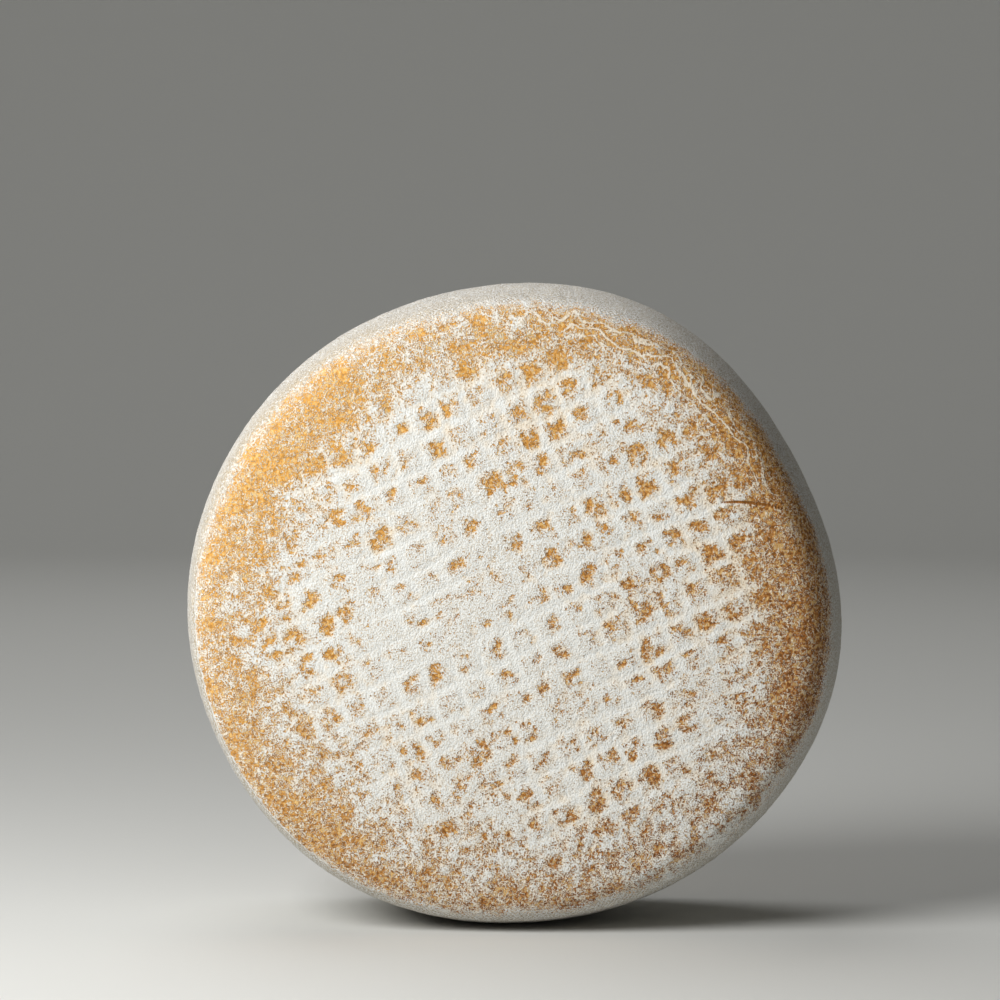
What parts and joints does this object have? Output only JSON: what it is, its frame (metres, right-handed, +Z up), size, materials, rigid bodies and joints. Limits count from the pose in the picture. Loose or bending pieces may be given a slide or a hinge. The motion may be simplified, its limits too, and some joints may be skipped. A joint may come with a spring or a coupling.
{
  "type": "goat cheese wheel",
  "caption": "Whole round wheel of ripened goat cheese with a mould-dusted natural rind, wire-rack marks on its faces and a swelling rim, standing on a small flat of the rim.",
  "frame": {"origin": "on the surface that the wheel stands on, below the middle of its box", "axes": "+Z up, Y along the wheel's axis with the shown face towards -Y, X across the wheel"},
  "size_m": [0.2428, 0.095, 0.2361],
  "materials": {
    "natural_rind": "matt natural rind, white mould bloom over ochre"
  },
  "bodies": {
    "root": {"cheese_wheel": "natural_rind"}
  },
  "joints": []
}
